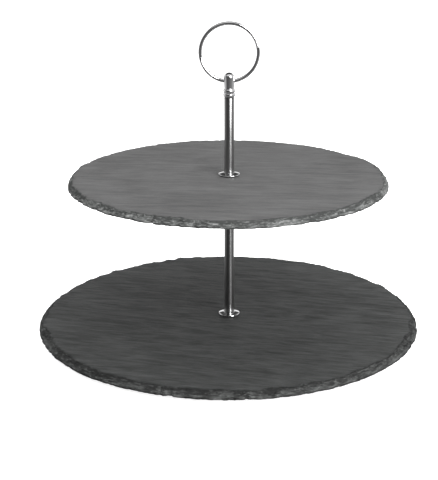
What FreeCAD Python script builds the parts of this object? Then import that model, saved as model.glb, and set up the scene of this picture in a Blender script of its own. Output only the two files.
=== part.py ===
"""Two-tier slate cake stand with a screw-together pole and a ring handle. Millimetres, +Z up.

The origin is on the floor, under the pole's axis. From the floor up, the stand is:
  four rubber feet stuck under a large round slate,
  a base screw with a washer and a gasket, which clamps that slate from below,
  a dished flange, and the lower rod, whose foot turns in the flange's seat,
  an upturned flange on the lower rod's head, which carries the smaller slate,
  a dished flange, and the upper rod, whose stud passes through the smaller slate into the lower rod,
  a bullet-shaped finial with two beads, screwed into the upper rod, and the ring in its cross hole.
Threads are plain cylinders: the male ones have the thread's outer radius, the tapped holes a little more.
"""
import FreeCAD
import Part

import math
import os

OUT_FOLDER = "parts"

# Slates
LOWER_PLATE_R = 151.2
UPPER_PLATE_R = 124.6
SLATE_T = 5.5
SLATE_BEVEL_IN = 4.5        # how far the dressed edge runs in from the rim, in plan
SLATE_RIM_H = 2.0           # upright part of the edge, at the underside
SLATE_HOLE_R = 3.5
TIER_SPACING = 114.7        # from the top of one slate to the top of the other

# Feet
FOOT_H = 4.0
FOOT_R = 9.0
FOOT_TOP_R = 8.2
FOOT_RING_R = 108.0         # from the pole's axis to each foot's centre
FOOT_COUNT = 4
FOOT_EDGE_ROUND = 0.8       # rounding of the edge on the floor

# M5 thread, taken as plain cylinders
THREAD_R = 2.5
THREAD_PITCH = 0.8
TAPPED_R = 2.55
CLEARANCE_HOLE_R = 2.75
THREAD_CHAMFER = 0.5
ROD_TURNS = 12              # turns of thread that hold each rod
FINIAL_TURNS = 10           # turns of thread that hold the finial
TAPPED_SPARE = 1.4          # depth of a tapped hole past the end of its screw

# Rods, flanges and gaskets
ROD_R = 3.8
ROD_EDGE = 0.3
GASKET_R = 7.8
GASKET_T = 0.6
FLANGE_R = 8.3
FLANGE_H = 1.9
FLANGE_RIM_H = 0.8
FLANGE_HUB_R = 4.6
FLANGE_HUB_FALL = 0.25      # how far the seat's outer edge is below the flange's full height
SEAT_R = 3.85
SEAT_DEPTH = 0.9

# Base screw and its washer
BASE_GASKET_T = 0.8
BASE_WASHER_R = 8.0
BASE_WASHER_T = 1.0
SCREW_HEAD_R = 5.6
SCREW_HEAD_H = 1.7
SCREW_RECESS_DEPTH = 1.0
SCREW_RECESS_LENGTH = 5.4
SCREW_RECESS_WIDTH = 1.1

# Finial, its washer and the ring
HANDLE_WASHER_R = 3.7
HANDLE_WASHER_T = 0.6
FINIAL_H = 18.6
COLLAR_R = 4.05             # groove between the beads, and the step under them
BEAD_R = 4.6
BEAD_H = 2.4
BEAD_PITCH = 3.0
BEAD_FIRST_Z = 1.7          # height of the lower bead's middle above the finial's base
NECK_R = 3.75
NECK_Z = 6.3
SHOULDER_R = 4.2
DOME_Z = 15.2               # where the finial's dome begins
DOME_EDGE_R = 2.6           # rounding between the finial's side and the crown of its dome
RING_WIRE_R = 1.4
RING_R = 21.8               # to the middle of the wire
CROSS_HOLE_R = 1.75
CROSS_HOLE_Z = 12.0         # height of the cross hole above the finial's base
STUD_BLIND_DEPTH = 8.0      # how far the finial's stud is screwed into the finial
JOINING_STUD_IN_ROD = 12.0  # how far the joining stud is fixed in the upper rod's foot

# The stack, from the floor up
LOWER_BOTTOM = FOOT_H
LOWER_TOP = LOWER_BOTTOM + SLATE_T
LOWER_FLANGE_Z = LOWER_TOP + GASKET_T
LOWER_ROD_FOOT = LOWER_FLANGE_Z + FLANGE_H - SEAT_DEPTH
UPPER_TOP = LOWER_TOP + TIER_SPACING
UPPER_BOTTOM = UPPER_TOP - SLATE_T
SUPPORT_FLANGE_TOP = UPPER_BOTTOM - GASKET_T
LOWER_ROD_HEAD = SUPPORT_FLANGE_TOP - FLANGE_H + SEAT_DEPTH
UPPER_FLANGE_Z = UPPER_TOP + GASKET_T
UPPER_ROD_FOOT = UPPER_FLANGE_Z + FLANGE_H - SEAT_DEPTH
FINIAL_BASE = 185.5
UPPER_ROD_HEAD = FINIAL_BASE - HANDLE_WASHER_T
CROSS_HOLE = FINIAL_BASE + CROSS_HOLE_Z
SCREW_HEAD_TOP = LOWER_BOTTOM - BASE_GASKET_T - BASE_WASHER_T
ROD_ENGAGED = ROD_TURNS * THREAD_PITCH
FINIAL_ENGAGED = FINIAL_TURNS * THREAD_PITCH

Z_AXIS = FreeCAD.Vector(0, 0, 1)
X_AXIS = FreeCAD.Vector(1, 0, 0)
ORIGIN = FreeCAD.Vector(0, 0, 0)


def cylinder(radius, z0, z1, x=0.0, y=0.0):
    """An upright cylinder between two heights."""
    return Part.makeCylinder(radius, z1 - z0, FreeCAD.Vector(x, y, z0), Z_AXIS)


def tube(outer, inner, z0, z1):
    """A plain round tube or washer on the pole's axis."""
    return cylinder(outer, z0, z1).cut(cylinder(inner, z0, z1))


def line(a, b):
    """A straight edge of a half section, between two (radius, height) points."""
    return Part.LineSegment(FreeCAD.Vector(a[0], 0, a[1]), FreeCAD.Vector(b[0], 0, b[1])).toShape()


def arc(a, middle, b):
    """A round edge of a half section, through three (radius, height) points."""
    points = [FreeCAD.Vector(r, 0, z) for r, z in (a, middle, b)]
    return Part.Arc(*points).toShape()


def around(centre, radius, degrees):
    """The (radius, height) point at an angle above level, on a circle in the half section."""
    turn = math.radians(degrees)
    return centre[0] + radius * math.cos(turn), centre[1] + radius * math.sin(turn)


def turned(edges):
    """The solid that a closed half section makes when it is turned about the pole's axis."""
    face = Part.Face(Part.Wire(edges))
    return face.revolve(ORIGIN, Z_AXIS, 360)


def polygon_edges(points):
    """Straight edges through the points, and back to the first."""
    return [line(a, b) for a, b in zip(points, points[1:] + points[:1])]


def threaded_rod(z0, z1):
    """A stud or screw shank of the thread's outer radius, with chamfered ends."""
    return turned(polygon_edges([
        (0.0, z0),
        (THREAD_R - THREAD_CHAMFER, z0),
        (THREAD_R, z0 + THREAD_CHAMFER),
        (THREAD_R, z1 - THREAD_CHAMFER),
        (THREAD_R - THREAD_CHAMFER, z1),
        (0.0, z1),
    ]))


def slate(radius, z0):
    """A round slate with an upright rim at the underside and a dressed slope up to its face."""
    return turned(polygon_edges([
        (SLATE_HOLE_R, z0),
        (radius, z0),
        (radius, z0 + SLATE_RIM_H),
        (radius - SLATE_BEVEL_IN, z0 + SLATE_T),
        (SLATE_HOLE_R, z0 + SLATE_T),
    ]))


def foot(index):
    """A rubber foot: a short cone frustum, wider and rounded where it meets the floor."""
    angle = math.radians(45.0 + index * 360.0 / FOOT_COUNT)
    round_centre = (FOOT_R - FOOT_EDGE_ROUND, FOOT_EDGE_ROUND)
    round_middle = around(round_centre, FOOT_EDGE_ROUND, -45)
    edges = [
        line((0.0, 0.0), (FOOT_R - FOOT_EDGE_ROUND, 0.0)),
        arc((FOOT_R - FOOT_EDGE_ROUND, 0.0), round_middle, (FOOT_R, FOOT_EDGE_ROUND)),
        line((FOOT_R, FOOT_EDGE_ROUND), (FOOT_TOP_R, FOOT_H)),
        line((FOOT_TOP_R, FOOT_H), (0.0, FOOT_H)),
        line((0.0, FOOT_H), (0.0, 0.0)),
    ]
    solid = turned(edges)
    solid.translate(FreeCAD.Vector(FOOT_RING_R * math.cos(angle), FOOT_RING_R * math.sin(angle), 0))
    return solid


def flange():
    """A dished flange standing on its wide face at height 0, with a seat for the end of a rod."""
    hub_z = FLANGE_H - FLANGE_HUB_FALL
    rim_middle = (FLANGE_R - 0.12, FLANGE_RIM_H * 0.75)
    crown_middle = (
        (FLANGE_R + FLANGE_HUB_R) / 2,
        (FLANGE_RIM_H + hub_z) / 2 + 0.12,
    )
    rim_top = (FLANGE_R - 0.4, FLANGE_RIM_H)
    return turned([
        line((CLEARANCE_HOLE_R, 0.0), (FLANGE_R, 0.0)),
        line((FLANGE_R, 0.0), (FLANGE_R, FLANGE_RIM_H / 2)),
        arc((FLANGE_R, FLANGE_RIM_H / 2), rim_middle, rim_top),
        arc(rim_top, crown_middle, (FLANGE_HUB_R, hub_z)),
        line((FLANGE_HUB_R, hub_z), (SEAT_R + 0.2, FLANGE_H)),
        line((SEAT_R + 0.2, FLANGE_H), (SEAT_R, FLANGE_H)),
        line((SEAT_R, FLANGE_H), (SEAT_R, FLANGE_H - SEAT_DEPTH)),
        line((SEAT_R, FLANGE_H - SEAT_DEPTH), (CLEARANCE_HOLE_R, FLANGE_H - SEAT_DEPTH)),
        line((CLEARANCE_HOLE_R, FLANGE_H - SEAT_DEPTH), (CLEARANCE_HOLE_R, 0.0)),
    ])


def flange_facing_up(z0):
    """A flange that stands on a gasket at height z0 and takes the foot of a rod."""
    solid = flange()
    solid.translate(FreeCAD.Vector(0, 0, z0))
    return solid


def flange_facing_down(z_top):
    """A flange that sits on the head of a rod and carries a gasket at height z_top."""
    solid = flange()
    solid.rotate(ORIGIN, X_AXIS, 180)
    solid.translate(FreeCAD.Vector(0, 0, z_top))
    return solid


def rod(z0, z1, foot_depth, head_depth):
    """A turned rod with a tapped blind hole in each end."""
    body = turned(polygon_edges([
        (0.0, z0),
        (ROD_R - ROD_EDGE, z0),
        (ROD_R, z0 + ROD_EDGE),
        (ROD_R, z1 - ROD_EDGE),
        (ROD_R - ROD_EDGE, z1),
        (0.0, z1),
    ]))
    body = body.cut(cylinder(TAPPED_R, z0, z0 + foot_depth))
    return body.cut(cylinder(TAPPED_R, z1 - head_depth, z1))


def base_screw():
    """A pan-head screw pointing up, with a cross recess in the underside of its head."""
    head_bottom = SCREW_HEAD_TOP - SCREW_HEAD_H
    edge = SCREW_HEAD_R - SCREW_HEAD_H * 0.7
    head = turned([
        line((0.0, head_bottom), (edge, head_bottom)),
        arc(
            (edge, head_bottom),
            (SCREW_HEAD_R - SCREW_HEAD_H * 0.22, head_bottom + SCREW_HEAD_H * 0.36),
            (SCREW_HEAD_R, SCREW_HEAD_TOP - 0.2),
        ),
        line((SCREW_HEAD_R, SCREW_HEAD_TOP - 0.2), (SCREW_HEAD_R, SCREW_HEAD_TOP)),
        line((SCREW_HEAD_R, SCREW_HEAD_TOP), (0.0, SCREW_HEAD_TOP)),
        line((0.0, SCREW_HEAD_TOP), (0.0, head_bottom)),
    ])
    long, short = SCREW_RECESS_LENGTH, SCREW_RECESS_WIDTH
    for length, width in ((long, short), (short, long)):
        corner = FreeCAD.Vector(-length / 2, -width / 2, head_bottom)
        head = head.cut(Part.makeBox(length, width, SCREW_RECESS_DEPTH, corner))
    shank = turned(polygon_edges([
        (0.0, SCREW_HEAD_TOP),
        (THREAD_R, SCREW_HEAD_TOP),
        (THREAD_R, LOWER_ROD_FOOT + ROD_ENGAGED - THREAD_CHAMFER),
        (THREAD_R - THREAD_CHAMFER, LOWER_ROD_FOOT + ROD_ENGAGED),
        (0.0, LOWER_ROD_FOOT + ROD_ENGAGED),
    ]))
    return head.fuse(shank).removeSplitter()


def bead_edges(middle_z):
    """The half section of one bead, from its lower edge to its upper one."""
    low = (COLLAR_R, middle_z - BEAD_H / 2)
    high = (COLLAR_R, middle_z + BEAD_H / 2)
    return arc(low, (BEAD_R, middle_z), high), low, high


def dome_edges(z0, height):
    """The half section of the dome: a rounded edge that runs smoothly into a spherical crown."""
    inset = SHOULDER_R - DOME_EDGE_R
    spare = height - DOME_EDGE_R
    drop = (inset**2 - spare**2) / (2 * spare)
    edge_centre = (inset, z0)
    crown_centre = (0.0, z0 - drop)
    crown_r = height + drop
    meet = math.degrees(math.atan2(drop, inset))
    joint = around(crown_centre, crown_r, meet)
    edge = arc((SHOULDER_R, z0), around(edge_centre, DOME_EDGE_R, meet / 2), joint)
    crown = arc(joint, around(crown_centre, crown_r, (meet + 90) / 2), (0.0, z0 + height))
    return [edge, crown]


def finial():
    """A turned finial: two beads, a waist, a bullet-shaped head, a cross hole and a tapped hole."""
    top = FINIAL_BASE + FINIAL_H
    dome = FINIAL_BASE + DOME_Z
    neck = (NECK_R, FINIAL_BASE + NECK_Z)
    shoulder = (SHOULDER_R, dome)
    lower_bead, lower_a, lower_b = bead_edges(FINIAL_BASE + BEAD_FIRST_Z)
    upper_bead, upper_a, upper_b = bead_edges(FINIAL_BASE + BEAD_FIRST_Z + BEAD_PITCH)
    body = turned([
        line((0.0, FINIAL_BASE), (COLLAR_R - 0.3, FINIAL_BASE)),
        line((COLLAR_R - 0.3, FINIAL_BASE), (COLLAR_R, FINIAL_BASE + 0.3)),
        line((COLLAR_R, FINIAL_BASE + 0.3), lower_a),
        lower_bead,
        line(lower_b, upper_a),
        upper_bead,
        line(upper_b, neck),
        line(neck, shoulder),
        *dome_edges(dome, top - dome),
        line((0.0, top), (0.0, FINIAL_BASE)),
    ])
    body = body.cut(cylinder(TAPPED_R, FINIAL_BASE, FINIAL_BASE + STUD_BLIND_DEPTH))
    reach = 2 * SHOULDER_R
    cross_hole = Part.makeCylinder(
        CROSS_HOLE_R, 2 * reach, FreeCAD.Vector(-reach, 0, CROSS_HOLE), X_AXIS
    )
    return body.cut(cross_hole)


def ring():
    """The round wire ring, upright, its lowest stretch centred in the finial's cross hole."""
    # The wire is curved and the hole is straight, so the wire's lowest point is half the curve's
    # rise across the finial below the hole's axis.
    rise = RING_R - math.sqrt(RING_R**2 - SHOULDER_R**2)
    centre = FreeCAD.Vector(0, 0, CROSS_HOLE - rise / 2 + RING_R)
    return Part.makeTorus(RING_R, RING_WIRE_R, centre, FreeCAD.Vector(0, 1, 0))


def build():
    """Every sub-part, by the name of its node."""
    parts = {
        "lower_plate": slate(LOWER_PLATE_R, LOWER_BOTTOM),
        "upper_plate": slate(UPPER_PLATE_R, UPPER_BOTTOM),
        "base_gasket": tube(GASKET_R, CLEARANCE_HOLE_R, LOWER_BOTTOM - BASE_GASKET_T, LOWER_BOTTOM),
        "base_washer": tube(
            BASE_WASHER_R, CLEARANCE_HOLE_R, SCREW_HEAD_TOP, LOWER_BOTTOM - BASE_GASKET_T
        ),
        "base_screw": base_screw(),
        "lower_gasket": tube(GASKET_R, CLEARANCE_HOLE_R, LOWER_TOP, LOWER_FLANGE_Z),
        "lower_flange": flange_facing_up(LOWER_FLANGE_Z),
        "lower_rod": rod(
            LOWER_ROD_FOOT, LOWER_ROD_HEAD, ROD_ENGAGED + TAPPED_SPARE, ROD_ENGAGED + TAPPED_SPARE
        ),
        "support_flange": flange_facing_down(SUPPORT_FLANGE_TOP),
        "support_gasket": tube(GASKET_R, CLEARANCE_HOLE_R, SUPPORT_FLANGE_TOP, UPPER_BOTTOM),
        "upper_gasket": tube(GASKET_R, CLEARANCE_HOLE_R, UPPER_TOP, UPPER_FLANGE_Z),
        "upper_flange": flange_facing_up(UPPER_FLANGE_Z),
        "upper_rod": rod(
            UPPER_ROD_FOOT, UPPER_ROD_HEAD, JOINING_STUD_IN_ROD, FINIAL_ENGAGED + TAPPED_SPARE
        ),
        "joining_stud": threaded_rod(
            LOWER_ROD_HEAD - ROD_ENGAGED, UPPER_ROD_FOOT + JOINING_STUD_IN_ROD
        ),
        "handle_washer": tube(HANDLE_WASHER_R, CLEARANCE_HOLE_R, UPPER_ROD_HEAD, FINIAL_BASE),
        "finial_stud": threaded_rod(
            UPPER_ROD_HEAD - FINIAL_ENGAGED, FINIAL_BASE + STUD_BLIND_DEPTH
        ),
        "finial": finial(),
        "ring": ring(),
    }
    for index in range(FOOT_COUNT):
        parts[f"foot_{index + 1}"] = foot(index)
    return parts


os.makedirs(OUT_FOLDER, exist_ok=True)
for name, shape in build().items():
    shape.exportStep(os.path.join(OUT_FOLDER, f"{name}.step"))
    print(f"{name}: {len(shape.Solids)} solid, {shape.Volume:.1f} mm3, valid {shape.isValid()}")
print(f"rods rise {ROD_ENGAGED} mm in {ROD_TURNS} turns, finial {FINIAL_ENGAGED} mm in {FINIAL_TURNS}")
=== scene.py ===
# %% [markdown]
# # A two-tier slate cake stand
# The stand comes apart like the real one: two hand-dressed slates on a pole of two screwed rods,
# a bullet-shaped finial, a wire ring to carry it by, and under it a base screw and rubber feet.
# The sizes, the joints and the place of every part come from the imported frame, so this script
# only reads boxes from it and gives each part its real shape and finish.

# %% Load the frame
import math
import random

import bmesh
import bpy
import numpy as np
from mathutils import Matrix, Vector


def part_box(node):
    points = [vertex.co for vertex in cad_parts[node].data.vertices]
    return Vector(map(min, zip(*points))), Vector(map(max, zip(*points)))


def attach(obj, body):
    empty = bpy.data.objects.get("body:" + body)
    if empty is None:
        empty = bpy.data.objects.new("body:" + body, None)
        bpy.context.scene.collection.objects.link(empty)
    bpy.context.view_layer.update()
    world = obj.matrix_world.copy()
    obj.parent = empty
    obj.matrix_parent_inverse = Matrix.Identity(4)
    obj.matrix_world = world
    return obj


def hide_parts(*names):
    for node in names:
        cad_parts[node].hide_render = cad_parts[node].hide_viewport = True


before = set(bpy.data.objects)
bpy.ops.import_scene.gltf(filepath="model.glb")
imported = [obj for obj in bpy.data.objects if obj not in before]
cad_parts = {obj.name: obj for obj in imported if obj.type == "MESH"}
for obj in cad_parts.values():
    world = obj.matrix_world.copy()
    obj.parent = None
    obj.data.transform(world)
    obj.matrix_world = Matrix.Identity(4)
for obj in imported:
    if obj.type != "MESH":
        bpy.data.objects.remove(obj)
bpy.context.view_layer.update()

# %% [markdown]
# ## From a bmesh to a finished piece
# Every part ends the same way: doubles are merged, the faces are turned outwards, the mesh gets
# smooth shading with sharp edges where it bends, and the object rides on its body in the frame.
# The piece stands for the plain node of the frame, and takes that node's name with an ending.

# %% Finish a piece
MM = 0.001
IDENTITY = Matrix.Identity(4)


def open_edges(bm):
    return sum(1 for edge in bm.edges if len(edge.link_faces) != 2)


def finish_piece(bm, node, body, material, sharp=35.0):
    bmesh.ops.remove_doubles(bm, verts=bm.verts[:], dist=1e-6)
    bmesh.ops.recalc_face_normals(bm, faces=bm.faces[:])
    if bm.calc_volume(signed=True) < 0:
        bmesh.ops.reverse_faces(bm, faces=bm.faces[:])
    gaps = open_edges(bm)
    mesh = bpy.data.meshes.new(f"{node}_finished")
    bm.to_mesh(mesh)
    bm.free()
    mesh.shade_smooth()
    mesh.set_sharp_from_angle(angle=math.radians(sharp))
    mesh.materials.append(material)
    piece = bpy.data.objects.new(f"{node}_finished", mesh)
    bpy.context.scene.collection.objects.link(piece)
    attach(piece, body)
    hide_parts(node)
    print(f"{piece.name}: {len(mesh.polygons)} faces, {gaps} open edges")
    return piece


# %% [markdown]
# ## Turning on a lathe
# Most of the metal on this stand is turned. A half section is drawn as points of radius and
# height in millimetres, and the spin operator turns it round the pole's axis. A section that
# touches the axis closes by itself there once doubles are merged.

# %% Lathe helpers
def draw_section(bm, points, closed):
    verts = [bm.verts.new((r * MM, 0.0, z * MM)) for r, z in points]
    edges = [bm.edges.new(pair) for pair in zip(verts, verts[1:])]
    if closed:
        edges.append(bm.edges.new((verts[-1], verts[0])))
    return verts, edges


def turn(bm, points, closed=True, steps=96):
    verts, edges = draw_section(bm, points, closed)
    bmesh.ops.spin(
        bm, geom=verts + edges, cent=(0, 0, 0), axis=(0, 0, 1), dvec=(0, 0, 0),
        angle=math.tau, space=IDENTITY, steps=steps, use_merge=True,
        use_normal_flip=False, use_duplicate=False,
    )
    bmesh.ops.remove_doubles(bm, verts=bm.verts[:], dist=1e-7)


def arc_points(centre, radius, start, end, count):
    """Points on a circle in the half section, from one angle to the other, in degrees."""
    points = []
    for i in range(count + 1):
        angle = math.radians(start + (end - start) * i / count)
        points.append((centre[0] + radius * math.cos(angle), centre[1] + radius * math.sin(angle)))
    return points


def heights(node):
    """Lowest and highest point of a node of the frame, in millimetres."""
    low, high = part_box(node)
    return low.z / MM, high.z / MM


def half_width(node):
    low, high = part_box(node)
    return (high.x - low.x) / 2 / MM


# %% [markdown]
# ## Helpers for finishes
# A finish is a small tree of nodes. Patterns come from noise on Object coordinates, so they stay
# with the piece when it turns or lifts. A Mapping node stretches a pattern: slate needs long thin
# streaks, and turned steel needs fine rings.

# %% Node helpers
def new_finish(name):
    material = bpy.data.materials.new(name)
    material.use_nodes = True
    nodes, links = material.node_tree.nodes, material.node_tree.links
    shader = nodes["Principled BSDF"]
    coords = nodes.new("ShaderNodeTexCoord")
    return material, nodes, links, shader, coords


def grain(nodes, links, coords, stretch, scale=1.0, detail=4.0, rough=0.55, distortion=0.0, turn_z=0.0):
    """Noise in Object coordinates; stretch is the size of one mark along X, Y and Z, in millimetres."""
    place = coords.outputs["Object"]
    if turn_z:
        turned_place = nodes.new("ShaderNodeMapping")
        turned_place.inputs["Rotation"].default_value = (0.0, 0.0, -math.radians(turn_z))
        links.new(place, turned_place.inputs["Vector"])
        place = turned_place.outputs["Vector"]
    mapping = nodes.new("ShaderNodeMapping")
    mapping.inputs["Scale"].default_value = [1.0 / (size * MM) for size in stretch]
    links.new(place, mapping.inputs["Vector"])
    texture = nodes.new("ShaderNodeTexNoise")
    texture.inputs["Scale"].default_value = scale
    texture.inputs["Detail"].default_value = detail
    texture.inputs["Roughness"].default_value = rough
    texture.inputs["Distortion"].default_value = distortion
    links.new(mapping.outputs["Vector"], texture.inputs["Vector"])
    return texture.outputs["Fac"]


def spread(nodes, links, value, low, high, to_low, to_high):
    """Takes a value from one range to another, and stops at the ends."""
    node = nodes.new("ShaderNodeMapRange")
    node.inputs["From Min"].default_value = low
    node.inputs["From Max"].default_value = high
    node.inputs["To Min"].default_value = to_low
    node.inputs["To Max"].default_value = to_high
    links.new(value, node.inputs["Value"])
    return node.outputs["Result"]


def reckon(nodes, links, kind, a, b):
    node = nodes.new("ShaderNodeMath")
    node.operation = kind
    for socket, value in zip(node.inputs, (a, b)):
        if isinstance(value, (int, float)):
            socket.default_value = value
        else:
            links.new(value, socket)
    return node.outputs["Value"]


def blend_colours(nodes, links, fac, a, b):
    node = nodes.new("ShaderNodeMix")
    node.data_type = "RGBA"
    links.new(fac, node.inputs["Factor"])
    for socket, value in ((node.inputs["A"], a), (node.inputs["B"], b)):
        if isinstance(value, tuple):
            socket.default_value = (*value, 1.0)
        else:
            links.new(value, socket)
    return node.outputs["Result"]


def raise_grain(nodes, links, shader, height, depth, strength=1.0, under=None):
    """A bump of so many millimetres on the shader, on top of another one if given."""
    bump = nodes.new("ShaderNodeBump")
    bump.inputs["Distance"].default_value = depth * MM
    bump.inputs["Strength"].default_value = strength
    links.new(height, bump.inputs["Height"])
    if under is not None:
        links.new(under, bump.inputs["Normal"])
    links.new(bump.outputs["Normal"], shader.inputs["Normal"])
    return bump.outputs["Normal"]


# %% [markdown]
# ## The finish of slate
# Slate splits along its layers. The split face is dull grey, with thin streaks that mostly run
# one way where the split stepped from layer to layer, and soft patches of lighter and darker
# stone. Thin dark and pale lines along the streaks are painted shade and painted highlight of the
# layer steps. Where the edge was chipped the stone is darker, and its ridges get a painted highlight.
# The sculpting below paints three numbers on the mesh, how chipped, how deep and how sharp the
# stone is, and this finish reads them: deeper chips are painted lighter, as painted light near the
# rim and painted shade near the inner border, and the foot of the rim wall gets painted shade.

# %% Slate finish
LOWER_STREAK_TURN = -13.0
UPPER_STREAK_TURN = -6.0


def painted(nodes, name):
    node = nodes.new("ShaderNodeAttribute")
    node.attribute_type = "GEOMETRY"
    node.attribute_name = name
    return node.outputs["Fac"]


def slate_finish(name, dark, pale, chip_dark, chip_pale, streak_turn, streaks, roughness):
    material, nodes, links, shader, coords = new_finish(name)
    patches = grain(nodes, links, coords, (60, 34, 60), detail=4.0, distortion=0.5)
    streak = grain(nodes, links, coords, (24, 3.6, 12), detail=6.0, rough=0.70, distortion=0.3,
                   turn_z=streak_turn)
    fine = grain(nodes, links, coords, (3.0, 1.3, 2.0), detail=4.0, rough=0.6)
    tone = reckon(nodes, links, "ADD",
                  spread(nodes, links, patches, 0.3, 0.7, 0.0, 0.5),
                  spread(nodes, links, streak, 0.33, 0.67, -streaks, 0.5 + streaks))
    tone = reckon(nodes, links, "ADD", tone, spread(nodes, links, fine, 0.25, 0.75, -0.12, 0.12))
    # Thin dark lines and thin pale lines along the streaks: painted shade and painted highlight of the layer
    # steps.
    step_shade_lines = grain(nodes, links, coords, (19, 3.0, 12), detail=2.5, rough=0.5, distortion=0.2,
                  turn_z=streak_turn)
    tone = reckon(nodes, links, "ADD", tone, spread(nodes, links, step_shade_lines, 0.58, 0.64, 0.0, -1.4 * streaks))
    tone = reckon(nodes, links, "ADD", tone, spread(nodes, links, step_shade_lines, 0.37, 0.42, 1.2 * streaks, 0.0))
    face = blend_colours(nodes, links, spread(nodes, links, tone, 0.0, 1.0, 0.0, 1.0), dark, pale)

    chipped, depth, ridge_highlight_and_rim_shade = (painted(nodes, mark) for mark in ("chipped", "depth", "ridge_highlight_and_rim_shade"))
    crumbs = grain(nodes, links, coords, (6.5, 6.5, 1.1), detail=4.0, rough=0.65, distortion=0.6)
    specks = grain(nodes, links, coords, (3.2, 3.2, 0.9), detail=2.0, rough=0.6)
    weathered = grain(nodes, links, coords, (22, 22, 22), detail=2.0)
    chip_tone_and_painted_light = reckon(nodes, links, "ADD", spread(nodes, links, crumbs, 0.40, 0.68, -0.25, 0.50),
                   spread(nodes, links, specks, 0.56, 0.72, 0.0, 0.65))
    chip_tone_and_painted_light = reckon(nodes, links, "ADD", chip_tone_and_painted_light, spread(nodes, links, weathered, 0.35, 0.65, -0.10, 0.25))
    # Ridges get a painted highlight here, and the foot of the rim wall gets painted shade.
    chip_tone_and_painted_light = reckon(nodes, links, "ADD", chip_tone_and_painted_light, reckon(nodes, links, "MULTIPLY", ridge_highlight_and_rim_shade, 0.25))
    # Chips are painted lighter the deeper they cut: painted light near the rim, painted shade near the inner
    # border.
    chip_tone_and_painted_light = reckon(nodes, links, "ADD", chip_tone_and_painted_light, spread(nodes, links, depth, 0.15, 1.0, -0.18, 0.22))
    broken = blend_colours(nodes, links, spread(nodes, links, chip_tone_and_painted_light, 0.0, 1.0, 0.0, 1.0),
                           chip_dark, chip_pale)
    links.new(blend_colours(nodes, links, chipped, face, broken), shader.inputs["Base Color"])

    sheen = spread(nodes, links, streak, 0.3, 0.7, roughness + 0.06, roughness - 0.06)
    links.new(reckon(nodes, links, "ADD", sheen, reckon(nodes, links, "MULTIPLY", chipped, 0.12)),
              shader.inputs["Roughness"])
    layers = raise_grain(nodes, links, shader, streak, 0.60, 0.7)
    grit = raise_grain(nodes, links, shader, fine, 0.22, 0.5, under=layers)
    flakes = reckon(nodes, links, "MULTIPLY", crumbs, chipped)
    raise_grain(nodes, links, shader, flakes, 2.4, 0.9, under=grit)
    return material


# The lower slate's colours are darker than the upper's: partly the stone's own tone, partly painted shade
# from the upper slate above it.
lower_slate_tone_and_painted_shade = slate_finish(
    "slate_lower", (0.0145, 0.0155, 0.015), (0.038, 0.0395, 0.039),
    (0.006, 0.0065, 0.0062), (0.075, 0.078, 0.076),
    streak_turn=LOWER_STREAK_TURN, streaks=0.30, roughness=0.55)
upper_slate_finish = slate_finish(
    "slate_upper", (0.047, 0.047, 0.047), (0.092, 0.092, 0.092),
    (0.028, 0.030, 0.029), (0.21, 0.215, 0.212),
    streak_turn=UPPER_STREAK_TURN, streaks=0.06, roughness=0.58)

# %% [markdown]
# ## Sculpting the slates
# A slate starts as a plain turned blank with many rows of faces, closest together near the rim.
# The dresser's hammer then knocks flakes off the upper edge all the way round. Each flake leaves
# a shallow dished scar, so the blank's top is lowered to the deepest of many elliptical dishes,
# which meet in sharp ridges, as on the real edge. Stone breaks along its layers, so the dishes
# are stepped in thin layers. Then the rim is made a little out of round and nicked.
# Bump mapping alone would leave a perfect circle as the outline, which is why this is geometry.

# %% The blank
WEDGE_STEPS = 45
DOUBLINGS = 4
EDGE_BAND = 17.0


def double_round(bm, wedge, times):
    """Copies everything round the axis by its own angle, again and again, until the circle closes."""
    for k in range(times):
        copy = bmesh.ops.duplicate(bm, geom=bm.verts[:] + bm.edges[:] + bm.faces[:])
        moved = [item for item in copy["geom"] if isinstance(item, bmesh.types.BMVert)]
        bmesh.ops.rotate(bm, verts=moved, cent=(0, 0, 0), matrix=Matrix.Rotation(wedge * 2**k, 3, "Z"))


def slate_blank(radius, bottom, top, hole):
    bm = bmesh.new()
    corners = [
        (hole, bottom), (radius - EDGE_BAND, bottom), (radius, bottom),
        (radius, top), (radius - EDGE_BAND, top), (hole, top),
    ]
    verts, edges = draw_section(bm, corners, True)
    face_cuts = int((radius - EDGE_BAND - hole) / 2.1)
    for edge, cuts in zip(edges, (face_cuts // 4, 9, 4, 25, face_cuts, 1)):
        bmesh.ops.subdivide_edges(bm, edges=[edge], cuts=cuts)
    wedge = math.tau / 2**DOUBLINGS
    bmesh.ops.spin(
        bm, geom=bm.verts[:] + bm.edges[:], cent=(0, 0, 0), axis=(0, 0, 1), dvec=(0, 0, 0),
        angle=wedge, space=IDENTITY, steps=WEDGE_STEPS, use_merge=False,
        use_normal_flip=False, use_duplicate=False,
    )
    double_round(bm, wedge, DOUBLINGS)
    bmesh.ops.remove_doubles(bm, verts=bm.verts[:], dist=5e-6)
    return bm


# %% Noise for many points at once
def dice_at(column, row, seed):
    """A steady random number from 0 to 1 for each whole-numbered place."""
    mix = (column * 374761393 + row * 668265263 + int(seed * 10) * 144665) & 0xFFFFFFFF
    mix = ((mix ^ (mix >> 13)) * 1274126177) & 0xFFFFFFFF
    return ((mix ^ (mix >> 16)) & 0xFFFFFF) / 0xFFFFFF


def one_cloud(x, y, seed, wrap=None):
    column, row = np.floor(x).astype(np.int64), np.floor(y).astype(np.int64)
    u, v = ease(x - column, 0, 1), ease(y - row, 0, 1)
    here, there = (column % wrap, (column + 1) % wrap) if wrap else (column, column + 1)
    near = dice_at(here, row, seed) * (1 - u) + dice_at(there, row, seed) * u
    far = dice_at(here, row + 1, seed) * (1 - u) + dice_at(there, row + 1, seed) * u
    return (near * (1 - v) + far * v) * 2 - 1


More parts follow.
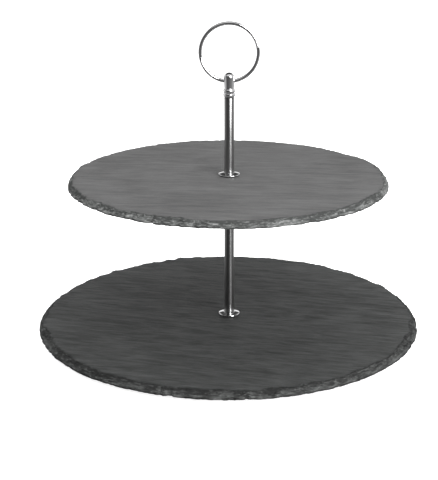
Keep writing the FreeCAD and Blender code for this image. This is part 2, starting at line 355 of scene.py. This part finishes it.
def cloud(x, y, size_x, size_y, seed, octaves=3):
    """Soft noise of about -1 to 1 at each point; the sizes are in millimetres."""
    return sum(
        one_cloud(x / size_x * 2**k + 17 * k, y / size_y * 2**k - 31 * k, seed + k) * 0.62**k
        for k in range(octaves)
    )


def rim_cloud(share_round, inward, marks, depth, seed, octaves=3):
    """The same along the rim: so many marks in a full turn, each so many millimetres deep."""
    return sum(
        one_cloud(share_round * marks * 2**k, inward / depth * 2**k - 31 * k, seed + k,
                  wrap=marks * 2**k) * 0.62**k
        for k in range(octaves)
    )


def ease(value, low, high):
    """0 below low, 1 above high, and smooth between."""
    t = np.clip((value - low) / (high - low), 0.0, 1.0)
    return t * t * (3 - 2 * t)


def steps_of_stone(drop, layer, wander, share):
    """Turns a smooth depth into thin layers: flat treads with short risers between them."""
    level = drop / layer + wander
    tread = np.floor(level) + ease(level - np.floor(level), 0.62, 1.0)
    return np.maximum(drop * (1 - share) + (tread - wander) * layer * share, 0.0)


# %% [markdown]
# Each scar has a place along the rim, a half width, a reach towards the middle and a height left
# at the rim. Its dish is an ellipse with its centre on the rim. Two scars on different levels
# leave a step, and two that cross leave a ridge, which gets a painted highlight.

# %% The scars
def scar_list(seed, radius, thickness, wide, reach, low_rim, spacing=(0.35, 1.0)):
    dice = random.Random(seed)
    scars = []
    place = 0.0
    around = math.tau * radius
    while place < around:
        half = dice.uniform(*wide)
        scars.append((place, half, dice.uniform(*reach), thickness * dice.uniform(*low_rim),
                      dice.uniform(-0.5, 0.5)))
        place += half * dice.uniform(*spacing)
    return scars


def thin_flakes(seed, radius, thickness):
    """Thin layers lifted off the face behind the main scars: wide, shallow, and far between."""
    return scar_list(seed, radius, thickness, (9, 30), (5.0, 10.0), (0.86, 0.95), spacing=(1.2, 3.2))


def chip_edge(inward, along, around, thickness, scars, bevel):
    """Height of the dressed edge over the underside, and how near the two deepest scars are."""
    lowest = thickness * np.clip(0.28 + 0.72 * (np.maximum(inward, 0) / bevel) ** 0.9, 0.0, 1.0)
    second = np.full_like(lowest, thickness)
    for place, half, reach, rim, skew in scars:
        off = (along - place + around / 2) % around - around / 2
        near = np.abs(off) < half * 1.3
        u = off[near] / half + skew * inward[near] / reach
        rho = np.sqrt(u * u + (inward[near] / reach) ** 2)
        dish = rim + (thickness - rim) * np.minimum(rho, 1.3) ** 1.25
        old, old_second = lowest[near], second[near]
        second[near] = np.minimum(np.maximum(old, dish), old_second)
        lowest[near] = np.minimum(old, dish)
    return np.minimum(lowest, thickness), second - lowest


# %% [markdown]
# The face was split, not sawn, so it has low waves and layer steps a few hundredths of a
# millimetre high that run roughly one way. They fade out at the middle, where the gasket seats.

# %% Sculpt a slate
def sculpt_slate(bm, radius, bottom, top, hole, seed, scars, shift_x, streak_turn, wave):
    thickness = top - bottom
    verts = bm.verts[:]
    xyz = np.array([v.co for v in verts]) / MM
    x, y, z = xyz[:, 0], xyz[:, 1], xyz[:, 2]
    r = np.hypot(x, y)
    theta = np.arctan2(y, x)
    turn_share = (theta / math.tau) % 1.0
    along, around = turn_share * math.tau * radius, math.tau * radius
    inward = radius - r
    on_top = z > top - 1e-3
    share = (z - bottom) / thickness

    rim_x, rim_y = radius * np.cos(theta), radius * np.sin(theta)
    uneven = 0.5 + 0.5 * np.clip(cloud(rim_x, rim_y, 60, 60, seed) * 1.6, -1, 1)
    nick = np.clip(cloud(rim_x, rim_y, 6, 6, seed + 7, 4) - 0.18, 0, 1)
    inset = 0.1 + 0.7 * uneven + 1.6 * nick + shift_x * (1 + np.cos(theta)) / 2
    bevel = 3.2 + 1.6 * cloud(rim_x, rim_y, 34, 34, seed + 3)

    height, gap = chip_edge(inward, along, around, thickness, scars, bevel)
    marks = int(around / 11)
    wander = 1.1 * rim_cloud(turn_share, inward, marks, 9.0, seed + 11)
    drop = steps_of_stone(thickness - height, 0.70, wander, 0.78)
    broken = ease(drop, 0.05, 0.8)
    crumble = (0.42 * rim_cloud(turn_share, inward, int(around / 5), 1.6, seed + 13)
               + 0.16 * cloud(x, y, 2.4, 2.4, seed + 15, 2))
    height = np.clip(thickness - drop + crumble * broken, 0.7, thickness)

    turn_angle = math.radians(streak_turn)
    u = x * math.cos(turn_angle) + y * math.sin(turn_angle)
    v = y * math.cos(turn_angle) - x * math.sin(turn_angle)
    waves = cloud(u, v, 40, 8.0, seed + 17, 4)
    split = cloud(u, v, 120, 42, seed + 19, 3) * 4.0
    split_steps = (np.floor(split) + ease(split - np.floor(split), 0.75, 1.0) - split)
    calm = ease(r, hole + 6, hole + 26)
    relief = np.minimum(wave * (waves * 0.9 + split_steps * 0.45) - 0.05, 0.0) * calm

    new_z = np.where(on_top, bottom + height + relief * ease(inward, 0.0, 6.0), z)
    wall = (inward < 1e-2) & ~on_top
    rim_top = on_top & (inward < 1e-2)
    rim_height = np.interp(turn_share, *sorted_pair(turn_share[rim_top], height[rim_top]))
    new_z = np.where(wall, bottom + share * rim_height, new_z)
    under = (share < 1e-3) & (inward < EDGE_BAND + 1)
    lift = 0.5 * np.clip(cloud(x, y, 7, 7, seed + 23) + 0.2, 0, 1) * (1 - ease(inward, 0.0, 2.6))
    new_z = np.where(under, z + lift, new_z)
    hollows = 0.10 * np.clip(cloud(x, y, 30, 12, seed + 29), 0, 1) * calm
    new_z = np.where((share < 1e-3) & ~under, z + hollows, new_z)

    pull = inset * (1 - ease(inward, 0.0, 34.0))
    bulge = np.where(wall, 0.35 * cloud(rim_x, rim_y, 4, 4, seed + 31) * np.sin(np.pi * share), 0.0)
    new_r = r - np.maximum(pull - np.minimum(bulge, pull), 0.0)
    for vert, a, b, c in zip(verts, new_r * np.cos(theta), new_r * np.sin(theta), new_z):
        vert.co = (a * MM, b * MM, c * MM)
    chipped = np.where(on_top, ease(drop, 0.06, 0.42), np.where(inward < 1.2, 1.0, 0.0))
    # Depth also lightens the chip colour in the finish, as painted light near the rim and painted shade near
    # the inner border.
    depth = np.where(on_top, np.clip((thickness - height) / (thickness - 1.2), 0, 1), 1.0) * chipped
    # This mark is a painted highlight on ridges where scars cross, and painted shade on the rim wall, darkest
    # at its foot.
    ridge_highlight_and_rim_shade = np.where(on_top, np.exp(-gap / 0.25) * chipped, np.where(wall, -2.4 * (1 - share) ** 0.7, 0.0))
    return {"chipped": chipped, "depth": depth, "ridge_highlight_and_rim_shade": ridge_highlight_and_rim_shade}


def sorted_pair(keys, values):
    order = np.argsort(keys)
    return keys[order], values[order]


# %% Paint the stone's numbers
def paint(piece, name, values):
    attribute = piece.data.attributes.new(name, "FLOAT", "POINT")
    attribute.data.foreach_set("value", np.asarray(values, dtype=np.float32))


def make_slate(node, body, finish, seed, scars, shift_x, streak_turn, wave):
    bottom, top = heights(node)
    radius, hole = round(half_width(node), 1), 3.5
    bm = slate_blank(radius, bottom, top, hole)
    marks = sculpt_slate(bm, radius, bottom, top, hole, seed, scars(radius, top - bottom),
                         shift_x, streak_turn, wave)
    piece = finish_piece(bm, node, body, finish, sharp=50)
    for name, values in marks.items():
        paint(piece, name, values)
    return piece


# %% Both slates
def lower_scars(radius, thickness):
    dressed = scar_list(41, radius, thickness, (6, 24), (1.8, 7.5), (0.18, 0.5))
    return dressed + thin_flakes(5, radius, thickness)


def upper_scars(radius, thickness):
    dressed = scar_list(17, radius, thickness, (5, 20), (1.4, 5.5), (0.18, 0.5))
    return dressed + thin_flakes(9, radius, thickness)


make_slate("lower_plate", "base", lower_slate_tone_and_painted_shade, 3.1, lower_scars,
           shift_x=1.6, streak_turn=LOWER_STREAK_TURN, wave=0.16)
make_slate("upper_plate", "lower_pole", upper_slate_finish, 8.4, upper_scars,
           shift_x=1.2, streak_turn=UPPER_STREAK_TURN, wave=0.10)

# %% [markdown]
# ## Finishes of the metal and the rubber
# The rods are turned and left satin, so they show one soft stripe of light. The flanges, finial
# and ring are polished and chromed: nearly a mirror, with very faint smears. The hidden screw and
# studs are zinc plated, and the feet and gaskets are black rubber.

# %% Metal and rubber finishes
def metal_finish(name, colour, roughness, vary, rings=None, turned=0.0):
    material, nodes, links, shader, coords = new_finish(name)
    shader.inputs["Metallic"].default_value = 1.0
    if turned:
        shader.inputs["Anisotropic"].default_value = turned
        shader.inputs["Anisotropic Rotation"].default_value = 0.25
        tangent = nodes.new("ShaderNodeTangent")
        tangent.direction_type, tangent.axis = "RADIAL", "Z"
        links.new(tangent.outputs["Tangent"], shader.inputs["Tangent"])
    smear = grain(nodes, links, coords, (9, 9, 14), detail=3.0)
    smeared = tuple(c * 0.93 for c in colour)
    links.new(blend_colours(nodes, links, smear, smeared, colour), shader.inputs["Base Color"])
    links.new(spread(nodes, links, smear, 0.3, 0.7, roughness - vary, roughness + vary),
              shader.inputs["Roughness"])
    if rings:
        marks = grain(nodes, links, coords, (40, 40, rings), detail=2.0, rough=0.7)
        raise_grain(nodes, links, shader, marks, 0.02, 0.35)
    return material


def rubber_finish(name, colour):
    material, nodes, links, shader, coords = new_finish(name)
    dust = grain(nodes, links, coords, (2.2, 2.2, 2.2), detail=5.0)
    dusty = tuple(c * 2.2 for c in colour)
    links.new(blend_colours(nodes, links, dust, colour, dusty), shader.inputs["Base Color"])
    links.new(spread(nodes, links, dust, 0.3, 0.7, 0.62, 0.82), shader.inputs["Roughness"])
    raise_grain(nodes, links, shader, dust, 0.06, 0.5)
    return material


rod_finish = metal_finish("rod_steel", (0.30, 0.30, 0.30), 0.33, 0.03, turned=0.7)
chrome_finish = metal_finish("chrome", (0.86, 0.86, 0.87), 0.06, 0.02)
zinc_finish = metal_finish("zinc_steel", (0.66, 0.68, 0.71), 0.30, 0.06)
foot_finish = rubber_finish("foot_rubber", (0.012, 0.012, 0.012))
gasket_finish = rubber_finish("gasket", (0.010, 0.010, 0.010))

# %% [markdown]
# ## Rods
# Each rod is a bar turned to size, with a small chamfer and a tapped blind hole in each end. The
# hole ends in the cone that a drill leaves. The bore shows when the pole is taken apart.

# %% Rods
def rod_section(node, foot_depth, head_depth):
    low, high = heights(node)
    r = half_width(node)
    bore, cone = 2.55, 1.2
    if head_depth:
        head = [(bore, high), (bore, high - head_depth), (0.0, high - head_depth - cone)]
    else:
        head = [(0.0, high)]
    return [
        (0.0, low + foot_depth + cone), (bore, low + foot_depth), (bore, low + 0.35), (bore + 0.35, low),
        (r - 0.3, low), (r - 0.08, low + 0.1), (r, low + 0.3),
        (r, high - 0.3), (r - 0.08, high - 0.1), (r - 0.3, high), (bore + 0.35, high), (bore, high - 0.35),
        *head[1:],
    ]


for node, body, foot_depth, head_depth in (
    ("lower_rod", "lower_pole", 11.0, 11.0), ("upper_rod", "upper_pole", 12.0, 9.4),
):
    bm = bmesh.new()
    turn(bm, rod_section(node, foot_depth, head_depth), closed=False, steps=96)
    finish_piece(bm, node, body, rod_finish)

# %% [markdown]
# ## Flanges
# A flange is a shallow dished washer. Its rim is rounded, its crown rises to a hub, and a seat in
# the hub takes the end of the rod. The one under the upper slate is the same part upside down.

# %% Flanges
def flange_section(z0, flip):
    outer, bore, seat = 8.3, 2.75, 3.85
    rim = arc_points((outer - 0.42, 0.42), 0.42, -90, 62, 10)
    crown = [(7.0, 1.02), (6.1, 1.30), (5.3, 1.52), (4.7, 1.66)]
    lip = arc_points((4.12, 1.62), 0.28, 40, 90, 4)
    seat_wall = [(seat, 1.82), (seat, 1.0), (bore + 0.15, 1.0), (bore, 0.9), (bore, 0.12), (bore + 0.12, 0.0)]
    points = rim + crown + lip + seat_wall
    return [(r, z0 - z if flip else z0 + z) for r, z in points]


for node, body, flip in (
    ("lower_flange", "lower_swivel", False), ("upper_flange", "upper_swivel", False),
    ("support_flange", "lower_pole", True),
):
    low, high = heights(node)
    bm = bmesh.new()
    turn(bm, flange_section(high if flip else low, flip), steps=128)
    finish_piece(bm, node, body, chrome_finish, sharp=40)

# %% [markdown]
# ## Gaskets, washers and feet
# These are cut or moulded flat parts. Cut rubber bulges a little at its edge under the clamp
# load, so the gaskets get a rounded edge, and the washer has the small turned-over edge of a
# pressing. The feet have a ring moulded into the underside, which grips the table.

# %% Gaskets and washers
def flat_ring_section(node, bore, edge, round_edge):
    low, high = heights(node)
    outer = half_width(node)
    t = (high - low) / 2
    if round_edge:
        side = arc_points((outer - t * 0.6, low + t), t * 0.6, -90, 90, 6)
        side = [(r, low + t + (z - low - t) / 0.6) for r, z in side]
    else:
        side = [(outer - edge, low), (outer, low + edge), (outer, high - edge), (outer - edge, high)]
    return [*side, (bore + edge, high), (bore, high - edge), (bore, low + edge), (bore + edge, low)]


for node, body, slot, finish, edge, soft in (
    ("base_gasket", "base", "gasket", gasket_finish, 0.08, True),
    ("lower_gasket", "base", "gasket", gasket_finish, 0.08, True),
    ("support_gasket", "lower_pole", "gasket", gasket_finish, 0.08, True),
    ("upper_gasket", "lower_pole", "gasket", gasket_finish, 0.08, True),
    ("base_washer", "base", "zinc_steel", zinc_finish, 0.15, False),
    ("handle_washer", "handle_swivel", "gasket", gasket_finish, 0.08, True),
):
    bm = bmesh.new()
    turn(bm, flat_ring_section(node, 2.75, edge, soft), steps=96)
    finish_piece(bm, node, body, finish, sharp=40)

# %% Feet
FOOT_SECTION = [
    (0.0, 0.55), (4.6, 0.55), (5.0, 0.35), (5.3, 0.0), (8.2, 0.0), (8.62, 0.1), (8.92, 0.4), (9.0, 0.8),
    (8.86, 1.5), (8.62, 2.4), (8.36, 3.4), (8.2, 3.9), (8.1, 4.0), (0.0, 4.0),
]
for index in range(1, 5):
    node = f"foot_{index}"
    low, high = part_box(node)
    bm = bmesh.new()
    turn(bm, FOOT_SECTION, closed=False, steps=64)
    centre = (low + high) / 2
    bmesh.ops.translate(bm, verts=bm.verts[:], vec=(centre.x, centre.y, 0.0))
    finish_piece(bm, node, "base", foot_finish, sharp=30)

# %% [markdown]
# ## Threads
# A thread is one pitch of its section carried round and up at the same time, so the spin operator
# gets a lift at each step. The turns then meet edge to edge and merge. Two cuts trim it to
# length, and pulling the last half millimetre in makes the chamfer that helps a screw start.

# %% Cut a thread
PITCH = 0.8


def thread(bm, z0, z1, major=2.5, minor=2.06, steps=32, chamfers=(True, True)):
    doublings = math.ceil(math.log2((z1 - z0) / PITCH + 2))
    start = z0 - PITCH
    section = [(minor, 0.0), (minor, 0.1), (major, 0.34), (major, 0.46), (minor, 0.7), (minor, 0.8)]
    kept = set(bm.verts)
    verts, edges = draw_section(bm, [(r, start + z) for r, z in section], False)
    bmesh.ops.spin(
        bm, geom=verts + edges, cent=(0, 0, 0), axis=(0, 0, 1), dvec=(0, 0, PITCH * MM / steps),
        angle=math.tau, space=IDENTITY, steps=steps, use_merge=False,
        use_normal_flip=False, use_duplicate=False,
    )
    for k in range(doublings):
        coil = [face for face in bm.faces if not kept.intersection(face.verts)]
        copy = bmesh.ops.duplicate(bm, geom=coil)
        moved = [item for item in copy["geom"] if isinstance(item, bmesh.types.BMVert)]
        bmesh.ops.translate(bm, verts=moved, vec=(0, 0, PITCH * MM * 2**k))
    bmesh.ops.remove_doubles(bm, verts=[v for v in bm.verts if v not in kept], dist=2e-6)
    for height, outward in ((z0, -1), (z1, 1)):
        coil = [item for item in (*bm.verts, *bm.edges, *bm.faces)
                if not kept.intersection(item.verts if hasattr(item, "verts") else (item,))]
        bmesh.ops.bisect_plane(
            bm, geom=coil, dist=1e-7,
            plane_co=(0, 0, height * MM), plane_no=(0, 0, outward), clear_outer=True, clear_inner=False,
        )
        ends = [e for e in bm.edges if len(e.link_faces) == 1
                and all(abs(v.co.z - height * MM) < 1e-6 for v in e.verts)]
        bmesh.ops.edgeloop_fill(bm, edges=ends)
    for vert in (v for v in bm.verts if v not in kept):
        r = math.hypot(vert.co.x, vert.co.y)
        limits = []
        if chamfers[0]:
            limits.append(1.75 * MM + (vert.co.z - z0 * MM))
        if chamfers[1]:
            limits.append(1.75 * MM + (z1 * MM - vert.co.z))
        limit = min(limits, default=r)
        if r > limit > 0:
            vert.co.x *= limit / r
            vert.co.y *= limit / r


# %% Studs
for node, body in (("joining_stud", "upper_pole"), ("finial_stud", "handle")):
    low, high = heights(node)
    bm = bmesh.new()
    thread(bm, low, high)
    finish_piece(bm, node, body, zinc_finish, sharp=30)

# %% [markdown]
# ## The base screw
# A pan-head screw comes up through the lower slate. The head is turned, and its cross recess is
# cut into the flat underside by two crossed boxes. A boolean makes the cut, since the recess
# breaks up a turned face, and modelling the leftover faces by hand would be slower and rougher.

# %% Base screw
def box_cutter(name, size, centre):
    bm = bmesh.new()
    bmesh.ops.create_cube(bm, size=1.0)
    bmesh.ops.scale(bm, verts=bm.verts[:], vec=[s * MM for s in size])
    bmesh.ops.translate(bm, verts=bm.verts[:], vec=[c * MM for c in centre])
    mesh = bpy.data.meshes.new(name)
    bm.to_mesh(mesh)
    bm.free()
    return bpy.data.objects.new(name, mesh)


def screw_head_section(bottom, seat):
    return [
        (0.0, bottom), (4.2, bottom), *arc_points((4.2, bottom + 1.3), 1.3, -80, -10, 8),
        (5.6, seat - 0.2), (5.55, seat), (2.45, seat), (0.0, seat),
    ]


def carve(bm, cutters):
    """The shape left when each cutter is taken away from a closed bmesh."""
    mesh = bpy.data.meshes.new("carving")
    bm.to_mesh(mesh)
    bm.free()
    blank = bpy.data.objects.new("carving", mesh)
    bpy.context.scene.collection.objects.link(blank)
    for cutter in cutters:
        bpy.context.scene.collection.objects.link(cutter)
        step = blank.modifiers.new("cut", "BOOLEAN")
        step.operation, step.solver, step.object = "DIFFERENCE", "EXACT", cutter
    bpy.context.view_layer.update()
    carved = bmesh.new()
    result = blank.evaluated_get(bpy.context.evaluated_depsgraph_get())
    carved.from_mesh(result.to_mesh())
    for item in (blank, *cutters):
        bpy.data.objects.remove(item)
    return carved


low, high = heights("base_screw")
SEAT_Z = 2.2
head = bmesh.new()
turn(head, screw_head_section(low, SEAT_Z), closed=False, steps=96)
bmesh.ops.remove_doubles(head, verts=head.verts[:], dist=1e-6)
bmesh.ops.recalc_face_normals(head, faces=head.faces[:])
arms = [box_cutter("arm_x", (5.4, 1.1, 2.0), (0, 0, low)), box_cutter("arm_y", (1.1, 5.4, 2.0), (0, 0, low))]
head = carve(head, arms)
thread(head, SEAT_Z - 0.2, high, chamfers=(False, True))
finish_piece(head, "base_screw", "base", zinc_finish, sharp=30)

# %% [markdown]
# ## The finial
# The finial is turned from bar: a plain foot, two beads with a groove between them, a waist, a
# slightly swelling body and a rounded nose. The ring's hole is drilled across it near the top,
# and the drill's widening shank breaks the sharp edge of that hole. A boolean cuts it, since no
# turned or extruded shape gives the curved edge where two cylinders meet.

# %% Finial
def bead(middle, radius, floor, half_height, count=10):
    """The half section of a bead, which bulges out from the groove and back."""
    return [
        (floor + (radius - floor) * math.cos(math.radians(a)) ** 0.8,
         middle + half_height * math.sin(math.radians(a)))
        for a in [-90 + 180 * i / count for i in range(count + 1)]
    ]


def nose(shoulder, z0, height, edge_r, count=7):
    """From the shoulder round a soft edge and over a spherical crown to the axis."""
    inset, spare = shoulder - edge_r, height - edge_r
    drop = (inset**2 - spare**2) / (2 * spare)
    meet = math.degrees(math.atan2(drop, inset))
    edge = arc_points((inset, z0), edge_r, 0, meet, count)
    crown = arc_points((0.0, z0 - drop), height + drop, meet, 90, count)
    return edge[:-1] + crown[:-1] + [(0.0, z0 + height)]


def hole_cutter(name, radius, straight, middle_z):
    """A drill on the X axis whose shank widens past where the finial's sides curve away."""
    bm = bmesh.new()
    turn(bm, [
        (0.0, -7.0), (radius + 2.0, -7.0), (radius, -straight),
        (radius, straight), (radius + 2.0, 7.0), (0.0, 7.0),
    ], closed=False, steps=64)
    bmesh.ops.remove_doubles(bm, verts=bm.verts[:], dist=1e-6)
    bmesh.ops.rotate(bm, verts=bm.verts[:], cent=(0, 0, 0), matrix=Matrix.Rotation(math.radians(90), 3, "Y"))
    bmesh.ops.translate(bm, verts=bm.verts[:], vec=(0, 0, middle_z * MM))
    bmesh.ops.recalc_face_normals(bm, faces=bm.faces[:])
    mesh = bpy.data.meshes.new(name)
    bm.to_mesh(mesh)
    bm.free()
    return bpy.data.objects.new(name, mesh)


low, high = heights("finial")
finial_section = [
    (0.0, low + 9.2), (2.55, low + 8.0), (2.55, low + 0.35), (2.9, low),
    (3.75, low), (4.0, low + 0.12), (4.05, low + 0.4),
    *bead(low + 1.7, 4.6, 4.05, 1.2), *bead(low + 4.7, 4.6, 4.05, 1.2),
    (3.85, low + 6.05), (3.75, low + 6.35), (3.78, low + 6.9), (3.95, low + 10.0), (4.12, low + 13.2),
    *nose(4.2, low + 15.2, high - low - 15.2, 2.6),
]
bm = bmesh.new()
turn(bm, finial_section, closed=False, steps=96)
bmesh.ops.remove_doubles(bm, verts=bm.verts[:], dist=1e-6)
bmesh.ops.recalc_face_normals(bm, faces=bm.faces[:])
drill = hole_cutter("drill", 1.75, 3.72, low + 12.0)
finial = finish_piece(carve(bm, [drill]), "finial", "handle", chrome_finish, sharp=28)

# %% [markdown]
# ## The ring
# The ring is a length of round wire bent into a circle and butted end to end inside the finial,
# then chromed. One turned circle of wire, spun round the ring's middle, gives it directly.

# %% Ring
low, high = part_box("ring")
wire = (high.y - low.y) / 2
ring_radius = (high.x - low.x) / 2 - wire
ring_middle = (low.z + high.z) / 2
bm = bmesh.new()
bmesh.ops.create_circle(bm, cap_ends=False, segments=32, radius=wire)
bmesh.ops.translate(bm, verts=bm.verts[:], vec=(ring_radius, 0, ring_middle))
bmesh.ops.spin(
    bm, geom=bm.verts[:] + bm.edges[:], cent=(0, 0, ring_middle), axis=(0, 1, 0), dvec=(0, 0, 0),
    angle=math.tau, space=IDENTITY, steps=192, use_merge=True, use_normal_flip=False, use_duplicate=False,
)
ring = finish_piece(bm, "ring", "ring", chrome_finish, sharp=60)

# %% [markdown]
# ## The studio
# The stand is shown on a white sweep: a pale floor under an evenly bright surround. Polished
# metal shows whatever is round it, so it gets a room and a table of its own, which only
# reflections see. One tall soft light at the front right draws the stripe down the rods, and a
# wide one overhead lights the slates.

# %% Floor and surround
def plain(name, colour, roughness=1.0, glow=0.0):
    material = bpy.data.materials.new(name)
    material.use_nodes = True
    shader = material.node_tree.nodes["Principled BSDF"]
    shader.inputs["Base Color"].default_value = (*colour, 1.0)
    shader.inputs["Roughness"].default_value = roughness
    shader.inputs["Emission Color"].default_value = (1, 1, 1, 1)
    shader.inputs["Emission Strength"].default_value = glow
    return material


def sheet_of(name, size_x, size_y, matrix, material):
    bm = bmesh.new()
    bmesh.ops.create_grid(bm, x_segments=1, y_segments=1, size=0.5)
    bmesh.ops.scale(bm, verts=bm.verts[:], vec=(size_x, size_y, 1.0))
    bmesh.ops.transform(bm, matrix=matrix, verts=bm.verts[:])
    mesh = bpy.data.meshes.new(name)
    bm.to_mesh(mesh)
    bm.free()
    mesh.materials.append(material)
    card = bpy.data.objects.new(name, mesh)
    bpy.context.scene.collection.objects.link(card)
    return card


floor = sheet_of("floor", 12.0, 12.0, IDENTITY, plain("floor_paper", (0.9, 0.9, 0.9), glow=0.8))

world = bpy.data.worlds.new("surround")
bpy.context.scene.world = world
world.use_nodes = True
world.node_tree.nodes["Background"].inputs["Color"].default_value = (1.0, 1.0, 1.0, 1.0)
world.node_tree.nodes["Background"].inputs["Strength"].default_value = 1.0

# %% [markdown]
# The room and the table glow by bearing and height: dark in front, where the camera stands,
# bright at the sides, and dim behind. A smooth glow was chosen over separate cards, whose edges
# would show as hard lines in the chrome.

# %% The room and table seen in reflections
def facing(place, target):
    """A matrix at a place, its Z turned towards a target."""
    direction = (Vector(target) - Vector(place)).normalized()
    return Matrix.Translation(place) @ direction.to_track_quat("Z", "Y").to_matrix().to_4x4()


def only_in_reflections(card):
    card.visible_camera = False
    card.visible_diffuse = False
    card.visible_shadow = False


def ramp(nodes, links, value, stops):
    """Grey levels read off along a value that runs from 0 to 1."""
    node = nodes.new("ShaderNodeValToRGB")
    bar = node.color_ramp
    while len(bar.elements) < len(stops):
        bar.elements.new(0.5)
    for element, (place, level) in zip(bar.elements, stops):
        element.position = place
        element.color = (level, level, level, 1.0)
    links.new(value, node.inputs["Fac"])
    return node.outputs["Color"]


def bearing_and_height(nodes, links, material_coords):
    """How far round from the front, and how high, as shares: 0.5 is straight ahead, and level."""
    parts = nodes.new("ShaderNodeSeparateXYZ")
    links.new(material_coords, parts.inputs["Vector"])
    x, y, z = parts.outputs["X"], parts.outputs["Y"], parts.outputs["Z"]
    bearing = reckon(nodes, links, "ARCTAN2", x, reckon(nodes, links, "MULTIPLY", y, -1.0))
    out = reckon(nodes, links, "SQRT", reckon(nodes, links, "ADD", reckon(nodes, links, "MULTIPLY", x, x),
                                              reckon(nodes, links, "MULTIPLY", y, y)), 0.0)
    height = reckon(nodes, links, "ARCTAN2", z, out)
    share = reckon(nodes, links, "ADD", reckon(nodes, links, "DIVIDE", bearing, math.tau), 0.5)
    level = reckon(nodes, links, "ADD", reckon(nodes, links, "DIVIDE", height, math.pi), 0.5)
    return share, level


def at(degrees):
    return 0.5 + degrees / 360


def up(degrees):
    return 0.5 + degrees / 180


TABLE_LEVELS = [(0.0, 0.25), (at(-110), 0.65), (at(-45), 0.05), (at(45), 0.10), (at(110), 0.50),
                (1.0, 0.25)]
FRONT_LEVELS = [(up(-30), 0.05), (up(12), 0.07), (up(40), 0.12), (up(52), 0.8), (up(90), 0.9)]
BACK_LEVELS = [(up(-10), 1.0), (up(15), 1.0), (up(21), 0.05), (up(84), 0.05), (up(90), 0.8)]
SIDE_LEVELS = [(up(-10), 0.85), (up(38), 0.75), (up(46), 0.05), (up(84), 0.05), (up(90), 0.8)]
FRONT_SHARE = [(0.0, 0.0), (at(-105), 0.0), (at(-65), 1.0), (at(60), 1.0), (at(100), 0.0), (1.0, 0.0)]
SIDE_SHARE = [(0.0, 0.0), (at(-163), 0.0), (at(-150), 1.0), (at(150), 1.0), (at(163), 0.0), (1.0, 0.0)]
RIGHT_GLOW = [(0.0, 0.0), (at(55), 0.0), (at(80), 0.3), (at(125), 0.3), (at(150), 0.0), (1.0, 0.0)]


def glow_only(material, level):
    """Turn a finish into a plain glow of the level given."""
    links = material.node_tree.links
    shader = material.node_tree.nodes["Principled BSDF"]
    shader.inputs["Base Color"].default_value = (0.0, 0.0, 0.0, 1.0)
    shader.inputs["Emission Strength"].default_value = 1.0
    links.new(level, shader.inputs["Emission Color"])
    return material


def studio_table_glow():
    material = plain("studio_table", (0, 0, 0))
    nodes, links = material.node_tree.nodes, material.node_tree.links
    coords = nodes.new("ShaderNodeTexCoord")
    share, level = bearing_and_height(nodes, links, coords.outputs["Object"])
    return glow_only(material, ramp(nodes, links, share, TABLE_LEVELS))


def studio_room_glow():
    material = plain("studio_room", (0, 0, 0))
    nodes, links = material.node_tree.nodes, material.node_tree.links
    coords = nodes.new("ShaderNodeTexCoord")
    share, level = bearing_and_height(nodes, links, coords.outputs["Object"])
    back = ramp(nodes, links, level, BACK_LEVELS)
    side = ramp(nodes, links, level, SIDE_LEVELS)
    front = ramp(nodes, links, level, FRONT_LEVELS)
    room = blend_colours(nodes, links, ramp(nodes, links, share, SIDE_SHARE), back, side)
    room = blend_colours(nodes, links, ramp(nodes, links, share, RIGHT_GLOW), room, (1, 1, 1))
    in_front = ramp(nodes, links, share, FRONT_SHARE)
    return glow_only(material, blend_colours(nodes, links, in_front, room, front))


table_glow = sheet_of("studio_table", 6.0, 6.0, Matrix.Translation((0, 0, 0.002)), studio_table_glow())
only_in_reflections(table_glow)

bm = bmesh.new()
bmesh.ops.create_uvsphere(bm, u_segments=48, v_segments=24, radius=2.6)
bmesh.ops.reverse_faces(bm, faces=bm.faces[:])
room_mesh = bpy.data.meshes.new("studio_room")
bm.to_mesh(room_mesh)
bm.free()
room_mesh.materials.append(studio_room_glow())
room = bpy.data.objects.new("studio_room", room_mesh)
bpy.context.scene.collection.objects.link(room)
only_in_reflections(room)


def soft_light(name, place, target, width, height, power):
    data = bpy.data.lights.new(name, "AREA")
    data.shape, data.size, data.size_y, data.energy = "RECTANGLE", width, height, power
    light = bpy.data.objects.new(name, data)
    light.matrix_world = facing(place, target) @ Matrix.Rotation(math.pi, 4, "Y")
    bpy.context.scene.collection.objects.link(light)
    return light


soft_light("strip_front_right", (0.57, -0.75, 0.55), (0, 0, 0.38), 0.56, 0.72, 17.5)
overhead = soft_light("overhead", (0.0, 0.25, 1.5), (0, 0, 0.1), 1.4, 1.4, 15.0)
overhead.visible_glossy = False

# %% [markdown]
# ## The camera
# A long lens from the front, a little above the upper slate, looks down by almost 18 degrees.
# The small shift puts the pole slightly to the right of the middle.

# %% Camera
lens = bpy.data.cameras.new("camera")
lens.lens, lens.sensor_width, lens.sensor_fit = 91.5, 36.0, "AUTO"
lens.shift_x = -0.0212
camera = bpy.data.objects.new("camera", lens)
camera.location = (0.0, -0.913, 0.3645)
camera.rotation_euler = (math.radians(72.21), 0.0, 0.0)
bpy.context.scene.collection.objects.link(camera)
bpy.context.scene.camera = camera
bpy.context.scene.view_settings.view_transform = "Standard"
